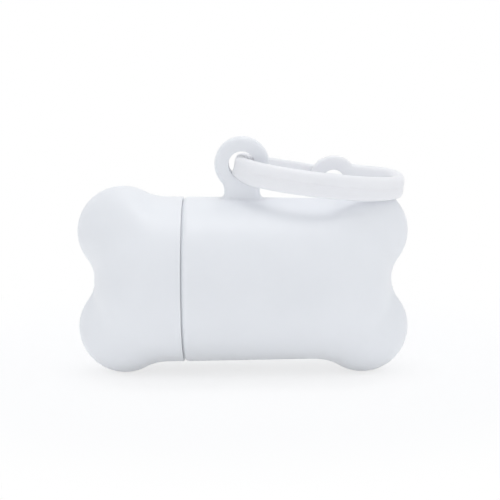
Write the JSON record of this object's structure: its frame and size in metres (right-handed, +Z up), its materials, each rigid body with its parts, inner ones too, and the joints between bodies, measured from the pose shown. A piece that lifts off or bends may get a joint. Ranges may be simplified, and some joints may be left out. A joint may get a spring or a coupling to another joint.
{
  "type": "dog waste bag dispenser",
  "caption": "Bone-shaped plastic holder for a roll of dog waste bags, with a pull-off cap, a bag slot in the back, and a snap ring on a lug for a lead.",
  "frame": {"origin": "on the surface that the bone lies on, under the middle of the bone", "axes": "+X along the bone, from the cap to the main shell's closed end; +Z up through the lug; +Y to the back, where the bag slot is"},
  "size_m": [0.0848, 0.0424, 0.0611],
  "materials": {
    "shell_plastic": "satin moulded polypropylene, cool white",
    "ring_plastic": "semi-gloss moulded polypropylene, cool white",
    "bag_film": "thin polyethylene film, tightly rolled",
    "core_paper": "uncoated paper tube"
  },
  "bodies": {
    "shell": {"main_shell": "shell_plastic"},
    "cap": {"cap_shell": "shell_plastic"},
    "ring": {"snap_ring": "ring_plastic"},
    "latch": {"latch_arm": "ring_plastic"},
    "roll": {"bag_roll": "bag_film", "roll_core": "core_paper"}
  },
  "joints": [
    {"name": "cap_pull", "type": "slide", "parent": "shell", "child": "cap", "axis": [-1, 0, 0], "range_m": [0, 0.06]},
    {"name": "ring_swing", "type": "hinge", "parent": "shell", "child": "ring", "pos_m": [0, 0, 0.0541], "axis": [0, -1, 0], "range_deg": [0, 165]},
    {"name": "latch_flex", "type": "hinge", "parent": "ring", "child": "latch", "pos_m": [0.00188, 0.0062, 0.05402], "axis": [0.1258, -0.026, 0.9917], "range_deg": [0, 25], "stiffness_Nm_per_rad": 0.05},
    {"name": "roll_spin", "type": "hinge", "parent": "shell", "child": "roll", "pos_m": [0, 0, 0.0219], "axis": [1, 0, 0], "continuous": true}
  ]
}
